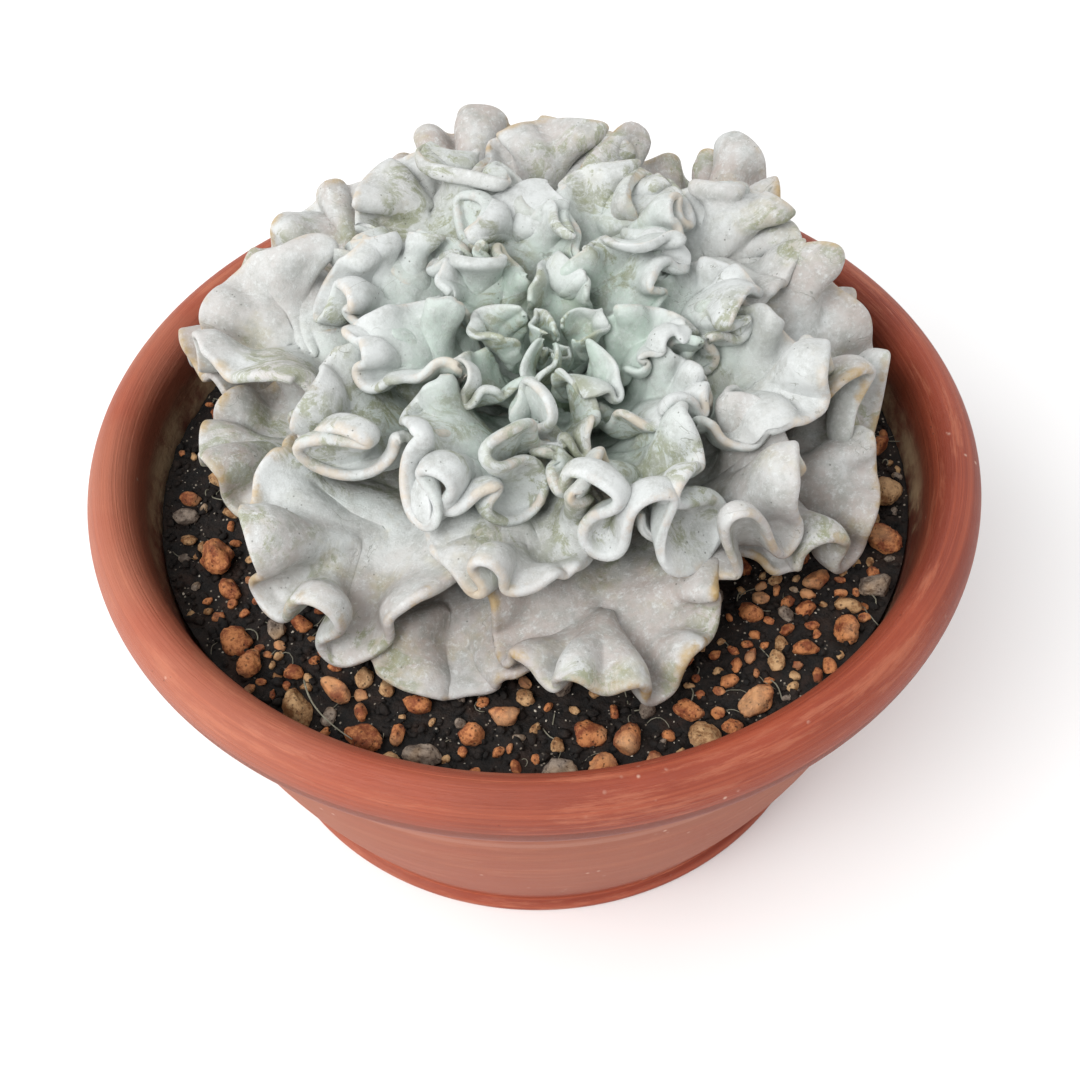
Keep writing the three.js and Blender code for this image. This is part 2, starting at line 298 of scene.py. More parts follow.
def peat():
    """Dark fibrous peat with lighter crumbs and pale grains."""
    soil = Finish("peat")
    clumps = soil.noise(220, detail=6, roughness=0.75)
    body = soil.mix(clumps.smooth(0.35, 0.75), paint("060403"), paint("2a1d15"))
    red = soil.noise(90, detail=4).smooth(0.55, 0.7)
    body = soil.mix(red * 0.35, body, paint("452a1b"))
    grains = (1 - soil.cells(520).smooth(0.1, 0.22)) * soil.noise(150, detail=2).smooth(0.48, 0.6)
    body = soil.mix(grains * 0.8, body, paint("b9ad9c"))
    relief = clumps * 1.4 + soil.noise(900, detail=3) * 0.4
    return soil.set(Base_Color=body, Roughness=0.85 - clumps * 0.2, Normal=soil.relief(relief, 1.2 * MM))


STEM_TIP = (0.105, 0.125)


def granule_clay(name, light, dark):
    """Porous fired clay: a light crust with darker hollows."""
    clay = Finish(name)
    lumps = clay.noise(260, detail=7, roughness=0.78)
    body = clay.mix(lumps.smooth(0.4, 0.6), paint(dark), paint(light))
    holes = 1 - clay.cells(700).smooth(0.1, 0.3)
    body = clay.mix(holes * 0.6, body, paint("3c2418"))
    stain = clay.noise(70, detail=2).smooth(0.5, 0.7)
    body = clay.mix(stain * 0.4, body, paint("e0b98c"))
    relief = lumps - holes * 0.5
    return clay.set(Base_Color=body, Roughness=0.8 - lumps * 0.1, Normal=clay.relief(relief, 0.6 * MM))


def dry_bark():
    """Ringed bark that turns to green flesh at the growing tip."""
    bark = Finish("stem_bark")
    rings = bark.noise(60, detail=5, stretch=(1, 1, 8))
    body = bark.mix(rings.smooth(0.35, 0.7), paint("6d5b43"), paint("a0906c"))
    height = bark.node("ShaderNodeSeparateXYZ", out="Z", Vector=bark.place())
    body = bark.mix(height.smooth(*STEM_TIP), body, paint("93a68d"))
    return bark.set(Base_Color=body, Roughness=0.8 - rings * 0.1, Normal=bark.relief(rings, 0.8 * MM))


def pale_grit():
    """Bright grains of sand and shell in the mix."""
    grit = Finish("pale_grit")
    tone = grit.noise(500, detail=3)
    return grit.set(Base_Color=grit.mix(tone, paint("a99d8b"), paint("ddd6c8")), Roughness=0.8 - tone * 0.1)


def root_fibre():
    """Dry root threads, dull olive to straw."""
    fibre = Finish("fibre")
    tone = fibre.noise(400, detail=2)
    return fibre.set(
        Base_Color=fibre.mix(tone, paint("55503f"), paint("a3a08e")), Roughness=0.5 + tone * 0.1)


def pale_floor():
    """The plain pale studio floor."""
    floor = Finish("pale_floor")
    tone = floor.noise(3, detail=2)
    return floor.set(
        Base_Color=floor.mix(tone, (0.91, 0.91, 0.91), (0.95, 0.95, 0.95)), Roughness=0.7 + tone * 0.05)


# ---------------------------------------------------------------- shared makers

def cad_points(node):
    """The corners of a CAD node, one in each row."""
    mesh = frame["nodes"][node].data
    flat = np.zeros(len(mesh.vertices) * 3)
    mesh.vertices.foreach_get("co", flat)
    return flat.reshape(-1, 3)


def add_mesh(name, points, faces, material):
    mesh = bpy.data.meshes.new(name)
    mesh.from_pydata(np.asarray(points).tolist(), [], faces)
    mesh.materials.append(material)
    mesh.polygons.foreach_set("use_smooth", [True] * len(mesh.polygons))
    mesh.update()
    piece = bpy.data.objects.new(name, mesh)
    bpy.context.scene.collection.objects.link(piece)
    return piece


def store(piece, **values):
    """Keeps a number for each point on the mesh, for the finish to read."""
    for name, numbers in values.items():
        kept = piece.data.attributes.new(name, "FLOAT", "POINT")
        kept.data.foreach_set("value", np.asarray(numbers, float).ravel())


def subdivide(piece, levels):
    modifier = piece.modifiers.new("smooth_skin", "SUBSURF")
    modifier.levels = levels
    modifier.render_levels = levels


def own(piece, slot, *nodes):
    """The piece belongs to the plant and stands for these CAD nodes."""
    if nodes:
        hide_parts(*nodes)
    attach(piece, "root")


def ease(x):
    """A smooth rise from 0 at 0 to 1 at 1, level beyond both."""
    x = np.clip(x, 0, 1)
    return x * x * (3 - 2 * x)


def waves(seed, count, lowest, highest):
    """Directions and shifts of a few sine waves that add up to a soft noise."""
    source = np.random.default_rng(seed)
    directions = source.normal(size=(count, 3))
    directions /= np.linalg.norm(directions, axis=1)[:, None]
    pitches = np.geomspace(lowest, highest, count)
    return directions * (2 * math.pi * pitches)[:, None], source.uniform(0, 2 * math.pi, count)


def soft_noise(points, seed, lowest, highest, count=9):
    """A soft uneven value, about -1 to 1, at each point."""
    directions, shifts = waves(seed, count, lowest, highest)
    strengths = 1 / np.sqrt(np.arange(1, count + 1))
    return (np.sin(points @ directions.T + shifts) * strengths).sum(1) / strengths.sum()


# ---------------------------------------------------------------- bowl

POT_SIDES = 128
CORNER_SOFTNESS = 1.1 * MM
CORNER_TURN = math.radians(35)
LIP = 2 * MM
RECESS_TOP = 8 * MM
WALL_LEAN = 3 * MM


def pot_section():
    """The bowl's closed section, from the CAD node's edges in one upright plane."""
    mesh = frame["nodes"]["pot"].data
    points = cad_points("pot")
    spoke = [i for i, p in enumerate(points) if abs(p[1]) < 1e-6 and p[0] > 0]
    key = {i: (round(points[i][0], 6), round(points[i][2], 6)) for i in spoke}
    beside = {}
    for edge in mesh.edges:
        a, b = edge.vertices
        if a in key and b in key and key[a] != key[b]:
            beside.setdefault(key[a], set()).add(key[b])
            beside.setdefault(key[b], set()).add(key[a])
    start = max(beside, key=lambda place: place[0])
    section = [start]
    step = max(beside[start], key=lambda place: place[1])
    while step != start:
        section.append(step)
        onward = [place for place in beside[step] if place != section[-2]]
        step = onward[0]
    return np.array(section)


def soften(section):
    """Doubles each sharp corner, so that subdividing keeps it crisp but not keen."""
    softened = []
    for i, corner in enumerate(section):
        before = section[i - 1] - corner
        after = section[(i + 1) % len(section)] - corner
        back, on = np.linalg.norm(before), np.linalg.norm(after)
        turn = math.pi - math.acos(np.clip(before @ after / (back * on), -1, 1))
        if turn < CORNER_TURN:
            softened.append(corner)
            continue
        softened.append(corner + before / back * min(CORNER_SOFTNESS, back / 3))
        softened.append(corner + after / on * min(CORNER_SOFTNESS, on / 3))
    return np.array(softened)


def make_pot():
    """The bowl, with its height, its course along the section and its inside kept
    for the clay to read."""
    section = soften(pot_section())
    count = len(section)
    turns = np.linspace(0, 2 * math.pi, POT_SIDES, endpoint=False)
    points = np.concatenate([
        np.stack([section[:, 0] * math.cos(t), section[:, 0] * math.sin(t), section[:, 1]], 1)
        for t in turns])
    ends = [((s + 1) % POT_SIDES) * count for s in range(POT_SIDES)]
    faces = [
        (s * count + i, s * count + (i + 1) % count, ends[s] + (i + 1) % count, ends[s] + i)
        for s in range(POT_SIDES) for i in range(count)]
    pot = add_mesh("bowl", points, faces, fired_clay())
    foot_radius = section[section[:, 1] < MM][:, 0].max()
    top = section[:, 1].max()
    crest = section[section[:, 1].argmax(), 0]
    within = np.tile(section[:, 0] < crest - LIP, POT_SIDES)
    above = np.tile(section[:, 1] > RECESS_TOP, POT_SIDES)
    wall = np.interp(np.tile(section[:, 1], POT_SIDES), [0, top], [foot_radius - WALL_LEAN, crest])
    course = np.concatenate([[0], np.cumsum(np.linalg.norm(np.diff(section, axis=0), axis=1))])
    store(
        pot, height=points[:, 2], course=np.tile(course, POT_SIDES),
        side_x=np.repeat(np.cos(turns), count), side_y=np.repeat(np.sin(turns), count),
        inside=(within & above & (np.tile(section[:, 0], POT_SIDES) < wall)) * 1.0)
    subdivide(pot, 2)
    own(pot, "terracotta", "pot")


# ---------------------------------------------------------------- leaves

FOOT_WIDTH = 0.24
WIDEST_AT = 0.66
GROWN_LENGTH = 95 * MM
COLUMNS = np.array([0, .14, .28, .41, .53, .63, .72, .80, .865, .915, .95, .975, .992, 1.0])
TOP_ALLOWANCE = 1.5 * MM
HEADROOM = 28 * MM
BED_ALLOWANCE = 4.5 * MM
REST = 6 * MM


class Crown:
    """The rosette's own frame: its axis runs up the stem."""

    def __init__(self):
        stem = cad_points("stem")
        self.foot = stem.mean(0)
        axis = np.linalg.svd(stem - self.foot)[2][0]
        self.up = axis * np.sign(axis[2])
        right = np.cross([0, 1, 0], self.up)
        self.right = right / np.linalg.norm(right)
        self.ahead = np.cross(self.up, self.right)
        self.top = cad_box[1].z + TOP_ALLOWANCE
        self.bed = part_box("potting_mix")[1].z + BED_ALLOWANCE

    def inward(self, points):
        """Points of the part's frame in the crown's own."""
        return (points - self.foot) @ np.stack([self.right, self.ahead, self.up], 1)

    def outward(self, points):
        """Points of the crown's frame in the part's."""
        return points @ np.stack([self.right, self.ahead, self.up]) + self.foot

    def kept(self, points):
        """Bends over what would outgrow the plant's height, and bends up what
        would sink into the mix."""
        placed = self.outward(points)
        above = np.maximum(placed[..., 2] - self.top + HEADROOM, 0)
        placed[..., 2] -= above - HEADROOM * np.tanh(above / HEADROOM)
        below = np.maximum(self.bed + REST - placed[..., 2], 0)
        placed[..., 2] += below - REST * np.tanh(below / REST)
        return self.inward(placed)


ON_SPINE = 0.05 * MM


class Leaf:
    """What the CAD leaf says of a leaf's place: its azimuth, the course of its
    middle line as radius and height, its length and its half width."""

    def __init__(self, node, crown, order, count):
        self.node = node
        self.order = order
        self.age = order / (count - 1)
        points = crown.inward(cad_points(node))
        reach = np.hypot(points[:, 0], points[:, 1])
        heading = np.arctan2(points[:, 1], points[:, 0])
        middle = np.exp(1j * heading).mean()
        self.azimuth = np.angle(middle)
        turn = np.angle(np.exp(1j * (heading - self.azimuth)))
        self.half_width = (np.abs(turn) * reach).max()
        spine = np.stack([reach, points[:, 2]], 1)[np.abs(turn) * reach < ON_SPINE]
        self.origin = spine.mean(0)
        chord = np.linalg.svd(spine - self.origin)[2][0]
        self.chord = chord * np.sign(chord[0])
        self.rise = np.array([-self.chord[1], self.chord[0]])
        run = (spine - self.origin) @ self.chord
        lift = (spine - self.origin) @ self.rise
        self.start, self.end = run.min(), run.max()
        self.curve = np.polyfit(run, lift, 2)
        self.length = self.end - self.start

    def course(self, along):
        """Radius, height and lift angle at a share of the leaf's length."""
        run = self.start + along * self.length
        lift = np.polyval(self.curve, run)
        place = self.origin + run[..., None] * self.chord + lift[..., None] * self.rise
        slope = np.arctan(np.polyval(np.polyder(self.curve), run))
        return place[..., 0], place[..., 1], math.atan2(self.chord[1], self.chord[0]) + slope

    def at(self, along, across):
        """Points of the smooth blade, wrapped round the crown as the CAD leaf is,
        and the directions square to it."""
        radius, height, lift = self.course(along)
        turn = self.azimuth + across / np.maximum(radius, 1 * MM)
        points = np.stack([radius * np.cos(turn), radius * np.sin(turn), height], -1)
        square = np.stack([-np.sin(lift) * np.cos(turn), -np.sin(lift) * np.sin(turn), np.cos(lift)], -1)
        return points, square


def outline(along):
    """Share of the full width: a narrow foot, a broad blade, a round end."""
    rise = np.sin(np.clip(along / WIDEST_AT, 0, 1) * math.pi / 2) ** 2
    swell = FOOT_WIDTH + (1 - FOOT_WIDTH) * rise
    beyond = np.clip((along - WIDEST_AT) / (1 - WIDEST_AT), 0, 1)
    return np.where(along < WIDEST_AT, swell, (1 - beyond ** 2.3) ** 0.5)


BESSEL_TERMS = 9


def bessel(order, x):
    """Bessel function of the first kind, by its power series."""
    total = np.zeros_like(x)
    for m in range(BESSEL_TERMS):
        share = (-1) ** m / (math.factorial(m) * math.factorial(m + order))
        total += share * (x / 2) ** (2 * m + order)
    return total


def meander(phase, swing, pitch):
    """A strip whose heading swings by swing radians each way, once per pitch:
    its shift along its course and its height off it. A wide swing folds over."""
    stretch = pitch / (2 * math.pi * bessel(0, swing))
    shift = sum((-1) ** k * bessel(2 * k, swing) / k * np.sin(2 * k * phase) for k in (1, 2, 3))
    height = sum(
        (-1) ** k * 2 * bessel(2 * k + 1, swing) / (2 * k + 1) * np.sin((2 * k + 1) * phase)
        for k in (0, 1, 2))
    return stretch * shift, stretch * height


def drift(places, source, pitch, low, high):
    """A value that wanders smoothly between low and high along the leaf's edge."""
    knots = np.arange(-1, places[-1] / pitch + 2) * pitch
    values = source.uniform(low, high, len(knots))
    share = (places[:, None] - knots[None]) / pitch
    weight = ease(1 - np.abs(share))
    return (weight * values).sum(1) / weight.sum(1)


UNEVEN_PITCH = (0.6, 1.6)
WANDER = 1.1


class Waves:
    """Waves along a leaf's edge, of uneven pitch and swing."""

    def __init__(self, places, source, pitch, low, high):
        uneven = drift(places, source, WANDER * pitch, *UNEVEN_PITCH) * pitch
        advance = 2 * math.pi / uneven * (places[1] - places[0])
        self.pitch = uneven[:, None]
        self.phase = (np.cumsum(advance) + source.uniform(0, 2 * math.pi))[:, None]
        self.swing = drift(places, source, WANDER * pitch, low, high)[:, None]
        self.depth = pitch

    def at(self, edge_distance, share):
        """Shift along the edge, height off the sheet, crest height and heading."""
        swing = self.swing * share * ease(1.35 * (1 - edge_distance / self.depth))
        shift, height = meander(self.phase, swing, self.pitch)
        crest = self.pitch / math.pi * bessel(1, swing) / bessel(0, swing)
        return shift, height, crest, swing * np.cos(self.phase)


# Frill pitch and depth, the flutter and the cup are in mm on a full-grown leaf.
FRILL_PITCH = 21
FRILL_SWING = (0.8, 2.15)
FRILL_DEPTH = (15, 32)
FOLD_PITCH = 54 * MM
FOLD_SWING = (0.5, 1.05)
FOLD_DEPTH = 36 * MM
SPINE_REACH = 0.84
FLUTTER = 1.5
CUP = 16
HEART_LEAVES = 10
RUFFLED_FROM = 12


class Blade:
    """One leaf's sheet as rays from its middle line to its edge, with the ruffles
    that its edge grows."""

    def __init__(self, leaf):
        self.leaf = leaf
        source = np.random.default_rng(LEAF_SEED + leaf.order)
        size = leaf.length / GROWN_LENGTH
        self.size = size
        along = np.linspace(0, 1, 600)
        fuller = 1.05 + 0.55 * ease(1 - leaf.order / HEART_LEAVES)
        across = fuller * leaf.half_width * outline(along)
        steps = np.hypot(np.diff(along) * leaf.length, np.diff(across))
        run = np.concatenate([[0], np.cumsum(steps)])
        rays = max(24, int(run[-1] / (0.42 * MM + 0.4 * MM * size)))
        even = np.linspace(0, run[-1], rays)
        side_along, side_across = np.interp(even, run, along), np.interp(even, run, across)
        self.edge_along = np.concatenate([side_along, side_along[-2::-1]])
        edge_across = np.concatenate([-side_across, side_across[-2::-1]])
        self.places = np.linspace(0, 2 * run[-1], 2 * rays - 1)

        lobes = 1 + 0.045 * drift(self.places, source, 8 * MM * size ** 0.5, -1, 1)
        lobes += 0.03 * drift(self.places, source, 3.2 * MM * size ** 0.5, -1, 1)
        spine_along = self.edge_along * (SPINE_REACH - 0.12 * self.edge_along)
        outward = COLUMNS[None]
        self.ray_along = spine_along[:, None] + (self.edge_along - spine_along)[:, None] * outward
        self.ray_across = edge_across[:, None] * outward * (1 + (lobes[:, None] - 1) * outward ** 3)
        length = np.hypot((self.edge_along - spine_along) * leaf.length, edge_across)
        self.edge_distance = length[:, None] * (1 - outward)
        self.smooth_points, self.square = leaf.at(self.ray_along, self.ray_across)
        edge = self.smooth_points[:, -1]
        course = np.gradient(edge, axis=0)
        self.course = course / np.linalg.norm(course, axis=1)[:, None]

        exposed = ease((self.edge_along - 0.3) / 0.3)[:, None]
        youth = 0.2 + 0.8 * ease(leaf.order / RUFFLED_FROM)
        old = ease((leaf.age - 0.4) / 0.4)
        pitch = (FRILL_PITCH - 2 * old) * MM * size ** 0.7
        self.frills = Waves(self.places, source, pitch, *FRILL_SWING)
        self.frills.swing *= exposed * youth
        least, most = FRILL_DEPTH
        depth = drift(self.places, source, 22 * MM * size, least, most - 8 * old)
        self.frills.depth = depth[:, None] * MM * size ** 0.8
        self.folds = Waves(self.places, source, FOLD_PITCH * size ** 0.75, *FOLD_SWING)
        self.folds.swing *= exposed * youth
        self.folds.depth = FOLD_DEPTH * size
        self.bias = 0.55 - 0.8 * ease((leaf.age - 0.55) / 0.45) + source.uniform(-0.15, 0.15)
        flutter = drift(self.places, source, 4.2 * MM * size ** 0.5, -FLUTTER, FLUTTER)
        self.flutter = flutter[:, None] * MM * size ** 0.6
        self.hem = drift(self.places, source, 9 * MM * size ** 0.5, 0.82, 1.25)[:, None]
        cup = CUP + 9 * ease(1 - leaf.order / HEART_LEAVES) - 10 * ease((leaf.age - 0.55) / 0.4)
        self.cup = cup * MM * size
        self.push = np.zeros_like(self.smooth_points)
        self.thickness = (1.1 + 2.6 * ease(size * 1.3)) * MM

    def grown(self, share):
        """The sheet's points with its ruffles grown to a share of their size."""
        shift, height, crest, _ = self.frills.at(self.edge_distance, share)
        fold_shift, fold_height, fold_crest, heading = self.folds.at(self.edge_distance, share)
        shift, height = (
            shift * np.cos(heading) - height * np.sin(heading) + fold_shift,
            shift * np.sin(heading) + height * np.cos(heading) + fold_height)
        crest = crest + 0.5 * fold_crest
        hem = ease(1 - self.edge_distance / (7 * MM * self.size + 1 * MM))
        height = height + crest * self.bias + share * self.flutter * hem
        width = np.abs(self.ray_across) / self.leaf.half_width
        height = height + self.cup * share * width ** 2.2 * ease((self.ray_along - 0.1) / 0.4)
        return self.smooth_points + self.course[:, None] * shift[..., None] + self.square * height[..., None]

    def settle(self):
        """Evens out the push along the sheet, and keeps both halves joined at the middle line."""
        for _ in range(3):
            padded = np.pad(self.push, ((1, 1), (1, 1), (0, 0)), mode="edge")
            around = padded[:-2, 1:-1] + padded[2:, 1:-1] + padded[1:-1, :-2] + padded[1:-1, 2:]
            self.push = 0.5 * self.push + 0.125 * around
            self.push[:, 0] = (self.push[:, 0] + self.push[::-1, 0]) / 2


CLEARANCE = 1.12
GROWTH_STEPS = 14
LAST_ROUNDS = 4
PUSH_STRENGTH = 1.6
PRIMES = np.array([73856093, 19349663, 83492791], np.int64)


def close_pairs(points, reach):
    """Pairs of points nearer than reach, found through a grid of cells."""
    cells = np.floor(points / reach).astype(np.int64)
    keys = cells @ PRIMES
    order = np.argsort(keys, kind="stable")
    ranked = keys[order]
    found = []
    for offset in np.ndindex(3, 3, 3):
        wanted = (cells + np.array(offset) - 1) @ PRIMES
        first = np.searchsorted(ranked, wanted, "left")
        counts = np.searchsorted(ranked, wanted, "right") - first
        one = np.repeat(np.arange(len(points)), counts)
        start = np.repeat(first - np.cumsum(counts) + counts, counts)
        other = order[start + np.arange(len(one))]
        keep = one < other
        one, other = one[keep], other[keep]
        near = ((points[one] - points[other]) ** 2).sum(1) < reach * reach
        found.append(np.stack([one[near], other[near]], 1))
    return np.concatenate(found)


def grow_together(blades, crown):
    """Grows all the ruffles in steps. Where two leaves come closer than their
    thickness they push each other away, the younger always to the upper side,
    so that none cuts into another."""
    owner = np.concatenate([np.full(b.smooth_points[..., 0].size, i) for i, b in enumerate(blades)])
    thickness = np.array([b.thickness for b in blades])[owner] * CLEARANCE / 2
    square = np.concatenate([b.square.reshape(-1, 3) for b in blades])
    ends = np.cumsum([b.smooth_points[..., 0].size for b in blades])[:-1]
    for step in range(1, GROWTH_STEPS + 1):
        for _ in range(1 if step < GROWTH_STEPS else LAST_ROUNDS):
            sheets = [crown.kept(b.grown(step / GROWTH_STEPS) + b.push) for b in blades]
            points = np.concatenate([s.reshape(-1, 3) for s in sheets])
            one, other = close_pairs(points, 2 * thickness.max()).T
            apart = owner[one] != owner[other]
            one, other = one[apart], other[apart]
            gap = points[one] - points[other]
            over = square[one] + square[other]
            over /= np.linalg.norm(over, axis=1)[:, None]
            sunk = np.minimum((gap * over).sum(1), 0)
            gap -= 2 * sunk[:, None] * over
            distance = np.linalg.norm(gap, axis=1)
            lack = thickness[one] + thickness[other] - distance - 2 * sunk
            touching = lack > 0
            one, other, gap = one[touching], other[touching], gap[touching]
            lack, distance = lack[touching], distance[touching]
            move = gap / np.maximum(distance, 1e-6)[:, None] * (lack / 2)[:, None]
            total = np.zeros_like(points)
            weight = np.zeros(len(points))
            np.add.at(total, one, move)
            np.add.at(total, other, -move)
            np.add.at(weight, one, 1)
            np.add.at(weight, other, 1)
            total /= np.maximum(weight, 1)[:, None]
            for blade, part in zip(blades, np.split(total, ends)):
                blade.push += PUSH_STRENGTH * part.reshape(blade.push.shape)
                blade.settle()


def leaf_mesh(blade, crown, skin):
    """A closed leaf of real thickness with a rounded edge, from its sheet."""
    sheet = crown.kept(blade.grown(1) + blade.push)
    rays, columns = sheet.shape[:2]
    sheet[:, 0] = (sheet[:, 0] + sheet[::-1, 0]) / 2
    square = np.cross(np.gradient(sheet, axis=1), np.gradient(sheet, axis=0))
    square *= np.sign((square * blade.square).sum(-1).mean())
    square[:, 0] = square[:, 1] + square[::-1, 1]
    square /= np.maximum(np.linalg.norm(square, axis=-1), 1e-12)[..., None]
    taper = 1 - 0.32 * ease(1 - blade.edge_distance / (9 * MM * blade.size))
    half = blade.thickness / 2 * (1.3 - 0.3 * blade.ray_along) * taper * blade.hem
    rounding = np.sqrt(np.clip(1 - (1 - np.minimum(blade.edge_distance / half, 1)) ** 2, 0, 1))
    lumps = soft_noise(blade.smooth_points.reshape(-1, 3), blade.leaf.order, lowest=45, highest=260)
    offset = square * (half * rounding)[..., None]
    sheet = sheet + square * (0.8 * MM * blade.size * lumps.reshape(rays, columns))[..., None]
    upper, lower = sheet + offset, sheet - offset

    number = np.arange(rays * columns).reshape(rays, columns)
    top = number.copy()
    top[:, 0] = np.minimum(number[:, 0], number[::-1, 0])
    bottom = number + rays * columns
    bottom[:, 0] = np.minimum(bottom[:, 0], bottom[::-1, 0])
    bottom[:, -1] = top[:, -1]
    faces = []
    for i in range(rays - 1):
        for k in range(columns - 1):
            for grid, turn in ((top, 1), (bottom, -1)):
                ring = [grid[i, k], grid[i, k + 1], grid[i + 1, k + 1], grid[i + 1, k]][::turn]
                ring = list(dict.fromkeys(ring))
                if len(ring) > 2:
                    faces.append(ring)
    for i, turn in ((0, 1), (rays - 1, -1)):
        for k in range(columns - 1):
            ring = [top[i, k], bottom[i, k], bottom[i, k + 1], top[i, k + 1]][::turn]
            faces.append(list(dict.fromkeys(ring)))
    points = crown.outward(np.concatenate([upper.reshape(-1, 3), lower.reshape(-1, 3)]))
    faces = [[int(v) for v in ring] for ring in faces]
    used = np.unique(np.concatenate([np.array(ring) for ring in faces]))
    renumber = {int(old): new for new, old in enumerate(used)}
    faces = [[renumber[v] for v in ring] for ring in faces]

    name = blade.leaf.node.replace("leaf", "ruffled_leaf")
    piece = add_mesh(name, points[used], faces, skin)
    edge_distance, along = (
        np.concatenate([grid.ravel(), grid.ravel()])[used]
        for grid in (blade.edge_distance, blade.ray_along))
    store(
        piece, edge_distance=edge_distance / (MM * blade.size ** 0.6), along=along,
        age=np.full(len(used), blade.leaf.age), underside=(used >= rays * columns) * 1.0)
    subdivide(piece, 1)
    own(piece, slots[blade.leaf.node], blade.leaf.node)


def make_leaves():
    """All the ruffled leaves, grown against each other."""
    crown = Crown()
    nodes = sorted(n for n in frame["nodes"] if n.startswith("leaf_"))
    blades = [Blade(Leaf(node, crown, order, len(nodes))) for order, node in enumerate(nodes)]
    grow_together(blades, crown)
    skin = leaf_skin()
    for blade in blades:
        leaf_mesh(blade, crown, skin)


# ---------------------------------------------------------------- potting mix and granules

SEEDS = 1 << 30
FACETS = 6
FULL_TURN = 6.28


def ball(levels):
    """Points and faces of a unit ball of small triangles."""
    mesh = bmesh.new()
    bmesh.ops.create_icosphere(mesh, subdivisions=levels, radius=1.0)
    points = np.array([v.co for v in mesh.verts])
    faces = [[v.index for v in f.verts] for f in mesh.faces]
    mesh.free()
    return points, faces


def chip(source, unit):
    """A lumpy broken pebble about 1 across: a ball worn flat on a few sides."""
    points = unit * 0.5
    for _ in range(FACETS):
        face = source.normal(size=3)
        face /= np.linalg.norm(face)
        beyond = np.maximum(points @ face - source.uniform(0.3, 0.43), 0)
        points = points - 0.9 * beyond[:, None] * face
    lumps = soft_noise(points, int(source.integers(SEEDS)), lowest=0.9, highest=5)
    pits = soft_noise(points, int(source.integers(SEEDS)), lowest=3, highest=9, count=12)
    points = points * (1 + 0.18 * lumps - 0.24 * np.abs(pits))[:, None]
    return points * np.array([1.1, source.uniform(0.62, 0.95), source.uniform(0.55, 0.8)])


def tumbled(points, source, tilt=0.5):
    """The points turned at random, and tipped by up to tilt radians."""
    turn = Matrix.Rotation(source.uniform(0, FULL_TURN), 3, "Z")
    tip = Matrix.Rotation(source.uniform(-tilt, tilt), 3, "X")
    return points @ np.array(turn @ tip).T


class Ground:
    """The mix's uneven top: higher in front, lower behind, rough all over."""

    def __init__(self):
        self.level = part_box("potting_mix")[1].z
        mix = cad_points("potting_mix")
        self.radius = np.hypot(mix[:, 0], mix[:, 1]).max()
        self.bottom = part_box("potting_mix")[0].z
        low = mix[mix[:, 2] < self.bottom + 1 * MM]
        self.bottom_radius = np.hypot(low[:, 0], low[:, 1]).max()

    def height(self, x, y):
        """Height of the mix's top at each place."""
        flat = np.stack([x, y, np.zeros_like(x)], -1).reshape(-1, 3)
        broad = soft_noise(flat, BROAD_GROUND_SEED, lowest=9, highest=45).reshape(x.shape)
        fine = soft_noise(flat, FINE_GROUND_SEED, lowest=120, highest=520, count=14).reshape(x.shape)
        slope = -y / self.radius
        return self.level + (2.4 * slope + 2.2 * broad + 1.7 * fine - 0.6) * MM


MIX_RINGS = 120
MIX_SPOKES = 400
MIX_HOLE = 0.12


def make_mix(ground):
    """The peat's rough top, its side against the bowl and its flat underside."""
    rings, spokes = MIX_RINGS, MIX_SPOKES
    radii = ground.radius * np.linspace(MIX_HOLE, 1, rings)
    turns = np.linspace(0, 2 * math.pi, spokes, endpoint=False)
    x, y = radii[:, None] * np.cos(turns), radii[:, None] * np.sin(turns)
    top = np.stack([x, y, ground.height(x, y)], -1).reshape(-1, 3)
    skirt = np.stack([
        ground.bottom_radius * np.cos(turns), ground.bottom_radius * np.sin(turns),
        np.full(spokes, ground.bottom)], 1)
    points = np.concatenate([top, skirt])
    faces = []
    for ring in range(rings):
        for spoke in range(spokes):
            after = (spoke + 1) % spokes
            faces.append((ring * spokes + spoke, (ring + 1) * spokes + spoke,
                          (ring + 1) * spokes + after, ring * spokes + after))
    faces.append(list(range(spokes)))
    faces.append([rings * spokes + spoke for spoke in range(spokes)][::-1])
    mix = add_mesh("peat_mix", points, faces, peat())
    own(mix, "potting_mix", "potting_mix")


def scatter(name, material, shapes, places):
    """Joins many small loose pieces into one mesh."""
    points, faces, start = [], [], 0
    for (shape, corners), (spot, size) in zip(shapes, places):
        points.append(shape * size + spot)
        faces.extend([[start + v for v in ring] for ring in corners])
        start += len(shape)
    return add_mesh(name, np.concatenate(points), faces, material)


def crowding(azimuth):
    """How thickly granules lie at an azimuth in degrees."""
    right = math.exp(-((azimuth + 25) / 38) ** 2)
    left = math.exp(-((azimuth + 132) / 26) ** 2)
    return 0.1 + 0.9 * max(right, 0.7 * left)


GRANULES = 420
GRANULE_TRIES = 9000
GRANULE_SHARES = [0.62, 0.24, 0.14]
GRANULE_SPACING = 0.47


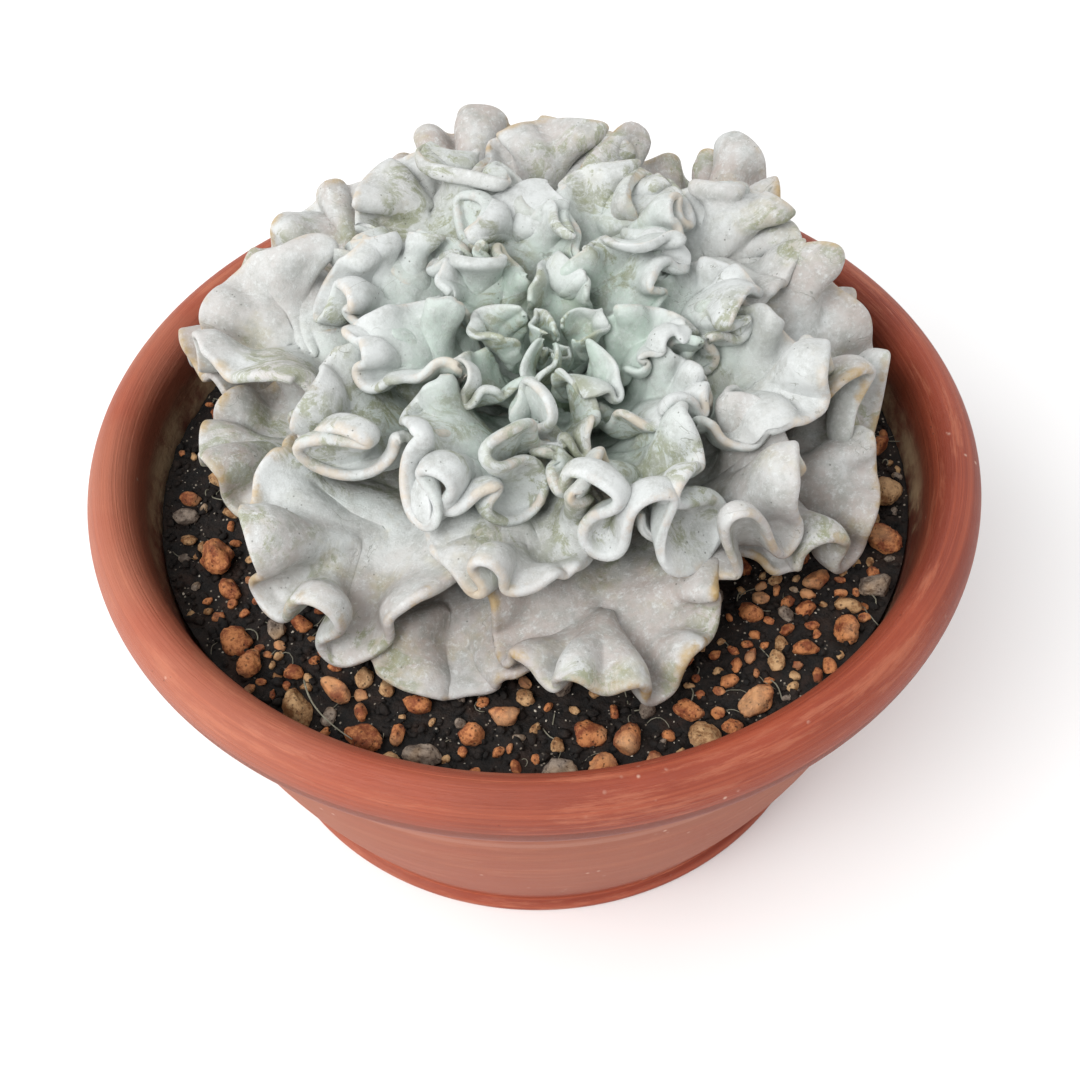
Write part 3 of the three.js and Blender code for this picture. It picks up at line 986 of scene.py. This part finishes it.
def make_granules(ground):
    """A pebble for each CAD granule, and smaller loose ones between them."""
    source = np.random.default_rng(GRANULE_SEED)
    finishes = {
        "clay_orange": granule_clay("clay_orange", "c98350", "7d3d1f"),
        "clay_tan": granule_clay("clay_tan", "c8a073", "80552f"),
        "clay_grey": granule_clay("clay_grey", "998a7c", "574a40"),
    }
    fine_ball, coarse_ball = ball(4), ball(3)
    laid = []
    for node in sorted(n for n in frame["nodes"] if n.startswith("granule_")):
        low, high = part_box(node)
        middle, size = (low + high) / 2, max(high.x - low.x, high.y - low.y)
        spot = np.array([middle.x, middle.y, 0])
        spot[2] = ground.height(spot[0:1], spot[1:2])[0] + 0.2 * size
        shape = tumbled(chip(source, fine_ball[0]), source, 0.3)
        piece = scatter(node.replace("granule", "clay_granule"), finishes[slots[node]],
                        [(shape, fine_ball[1])], [(spot, size * 1.05)])
        own(piece, slots[node], node)
        laid.append((spot, size))
    small = {slot: [] for slot in finishes}
    for _ in range(GRANULE_TRIES):
        azimuth = source.uniform(-180, 180)
        reach = ground.radius * math.sqrt(source.uniform(0.4, 0.98))
        if source.uniform() > crowding(azimuth):
            continue
        size = (2.8 + 7.2 * source.uniform() ** 1.6) * MM
        x, y = reach * math.cos(math.radians(azimuth)), reach * math.sin(math.radians(azimuth))
        if reach + size / 2 > ground.radius:
            continue
        if any(math.hypot(x - s[0], y - s[1]) < GRANULE_SPACING * (size + g) for s, g in laid):
            continue
        spot = np.array([x, y, ground.height(np.array([x]), np.array([y]))[0] + 0.18 * size])
        laid.append((spot, size))
        slot = source.choice(list(finishes), p=GRANULE_SHARES)
        small[slot].append((tumbled(chip(source, coarse_ball[0]), source), (spot, size)))
        if len(laid) > GRANULES:
            break
    for slot, pieces in small.items():
        piece = scatter("small_" + slot, finishes[slot], [(p[0], coarse_ball[1]) for p in pieces],
                        [p[1] for p in pieces])
        own(piece, slot)


CRUMBS = 4200
GRAINS = 900


def make_crumbs(ground):
    """Peat crumbs and pale grains, each set a little way into the mix's top."""
    source = np.random.default_rng(CRUMB_SEED)
    grain = ball(1)
    for name, material, count, least, most in (
            ("peat_crumbs", peat(), CRUMBS, 0.8, 4.0), ("pale_grains", pale_grit(), GRAINS, 0.3, 1.0)):
        places, shapes = [], []
        for _ in range(count):
            azimuth = source.uniform(-math.pi, math.pi)
            reach = ground.radius * math.sqrt(source.uniform(0.25, 0.98))
            size = (least + (most - least) * source.uniform() ** 2) * MM
            x, y = reach * math.cos(azimuth), reach * math.sin(azimuth)
            height = ground.height(np.array([x]), np.array([y]))[0]
            places.append((np.array([x, y, height + 0.15 * size]), size))
            rough = grain[0] * 0.5 * source.uniform(0.6, 1.25, (len(grain[0]), 1))
            shapes.append((tumbled(rough * np.array([1, 0.8, 0.6]), source), grain[1]))
        own(scatter(name, material, shapes, places), "potting_mix")


def strand(points, radii, sides):
    """A closed tube along points, as wide at each as radii says."""
    points = np.asarray(points, float)
    along = np.gradient(points, axis=0)
    along /= np.linalg.norm(along, axis=1)[:, None]
    aside = np.cross(along, [0.13, 0.21, 1.0])
    aside /= np.linalg.norm(aside, axis=1)[:, None]
    upward = np.cross(aside, along)
    turns = np.linspace(0, 2 * math.pi, sides, endpoint=False)
    rings = (points[:, None] + np.asarray(radii)[:, None, None] * (
        np.cos(turns)[None, :, None] * aside[:, None] + np.sin(turns)[None, :, None] * upward[:, None]))
    faces = []
    for i in range(len(points) - 1):
        for k in range(sides):
            after = (k + 1) % sides
            here, there = i * sides, (i + 1) * sides
            faces.append([here + k, here + after, there + after, there + k])
    faces.append(list(range(sides))[::-1])
    faces.append([(len(points) - 1) * sides + k for k in range(sides)])
    return rings.reshape(-1, 3), faces


FIBRES = 170
FIBRE_POINTS = 7
FIBRE_SIDES = 5


def make_fibres(ground):
    """Short root threads lying on the mix."""
    source = np.random.default_rng(FIBRE_SEED)
    shapes, places = [], []
    for _ in range(FIBRES):
        azimuth = source.uniform(-math.pi, math.pi)
        reach = ground.radius * math.sqrt(source.uniform(0.35, 0.95))
        heading = source.uniform(0, 2 * math.pi) + np.linspace(0, source.normal() * 1.4, FIBRE_POINTS)
        length = source.uniform(3, 11) * MM
        steps = np.stack([np.cos(heading), np.sin(heading)], 1) * length / FIBRE_POINTS
        path = np.cumsum(steps, axis=0) + [reach * math.cos(azimuth), reach * math.sin(azimuth)]
        arch = np.sin(np.linspace(0, math.pi, FIBRE_POINTS))
        lift = 0.5 * MM + 1.2 * MM * arch * source.uniform(0, 1)
        points = np.column_stack([path, ground.height(path[:, 0], path[:, 1]) + lift])
        radii = np.full(FIBRE_POINTS, source.uniform(0.08, 0.2) * MM)
        shapes.append(strand(points, radii, FIBRE_SIDES))
        places.append((np.zeros(3), 1))
    own(scatter("peat_fibres", root_fibre(), shapes, places), "potting_mix")


HAIR_POINTS = 24
HAIR_SIDES = 8
HAIR_LIFT = 2 * MM


def make_hair(ground):
    """One long pale root hair, lying over the mix at the front left."""
    share = np.linspace(0, 1, HAIR_POINTS)
    azimuth = np.radians(-128.5 + 12 * share)
    reach = ground.radius * (0.895 + 0.075 * share + 0.02 * np.sin(share * math.pi))
    x, y = reach * np.cos(azimuth), reach * np.sin(azimuth)
    arch = (3.2 + 2.5 * np.sin(share * math.pi)) * MM
    points = np.column_stack([x, y, ground.level + HAIR_LIFT + arch])
    tube, faces = strand(points, np.linspace(0.28, 0.16, HAIR_POINTS) * MM, HAIR_SIDES)
    hair = add_mesh("root_hair", tube, faces, root_fibre())
    own(hair, "potting_mix")


# ---------------------------------------------------------------- floor, light, camera

FLOOR_REACH = 40
LIT_POINT = (0, 0, 0.1)
LAMPS = (
    ("key", (-0.5, -0.62, 0.95), 0.6, 9.8),
    ("left", (-0.9, 0.1, 0.7), 0.7, 3),
    ("back", (0.6, 0.7, 0.6), 0.5, 1.2),
)
WORLD_LIGHT = 0.78

RIM_MIDDLE = (0, 0, 0.1104)
CAMERA_DISTANCE = 0.400
CAMERA_ELEVATION = math.radians(45.28)
CAMERA_YAW = math.radians(0.171)
CAMERA_PITCH = math.radians(-4.203)
CAMERA_ROLL = math.radians(-1.838)
LENS = 44.65
SENSOR_WIDTH = 36
NEAREST_SEEN = 0.01


def make_floor():
    """A floor that runs out of sight on every side."""
    corners = [(x * FLOOR_REACH, y * FLOOR_REACH, 0) for x, y in ((-1, -1), (1, -1), (1, 1), (-1, 1))]
    add_mesh("floor", corners, [(0, 1, 2, 3)], pale_floor())


def make_light(name, place, size, power):
    """A soft square lamp, its size in metres and its power in watts."""
    data = bpy.data.lights.new(name, "AREA")
    data.size = size
    data.energy = power
    lamp = bpy.data.objects.new(name, data)
    lamp.location = place
    lamp.rotation_euler = (Vector(LIT_POINT) - Vector(place)).to_track_quat("-Z", "Y").to_euler()
    bpy.context.scene.collection.objects.link(lamp)


def swung(first, second, angle):
    """Two square directions turned by an angle, the first towards the second."""
    return (
        first * math.cos(angle) + second * math.sin(angle),
        second * math.cos(angle) - first * math.sin(angle))


def make_camera():
    """The viewing angle: 45 degrees above the rim, 0.4 m from its middle."""
    back = Vector((0, -math.cos(CAMERA_ELEVATION), math.sin(CAMERA_ELEVATION)))
    ahead, right = -back, Vector((1, 0, 0))
    up = right.cross(ahead)
    ahead, right = swung(ahead, right, CAMERA_YAW)
    ahead, up = swung(ahead, up, CAMERA_PITCH)
    right, up = swung(right, up, CAMERA_ROLL)
    data = bpy.data.cameras.new("camera")
    data.lens = LENS
    data.sensor_width = SENSOR_WIDTH
    data.clip_start = NEAREST_SEEN
    camera = bpy.data.objects.new("camera", data)
    bpy.context.scene.collection.objects.link(camera)
    spot = Vector(RIM_MIDDLE) + back * CAMERA_DISTANCE
    turned = Matrix((right, up, -ahead)).transposed().to_4x4()
    camera.matrix_world = Matrix.Translation(spot) @ turned
    bpy.context.scene.camera = camera


def make_studio():
    """Plain soft light: a white surround and three lamps."""
    world = bpy.data.worlds.new("studio")
    world.use_nodes = True
    background = world.node_tree.nodes["Background"]
    background.inputs["Color"].default_value = (1, 1, 1, 1)
    background.inputs["Strength"].default_value = WORLD_LIGHT
    bpy.context.scene.world = world
    bpy.context.scene.view_settings.view_transform = "Standard"
    for lamp in LAMPS:
        make_light(*lamp)


make_pot()
ground = Ground()
make_mix(ground)
make_granules(ground)
make_crumbs(ground)
make_fibres(ground)
make_hair(ground)
frame["nodes"]["stem"].data.materials[0] = dry_bark()
make_leaves()
make_floor()
make_studio()
make_camera()
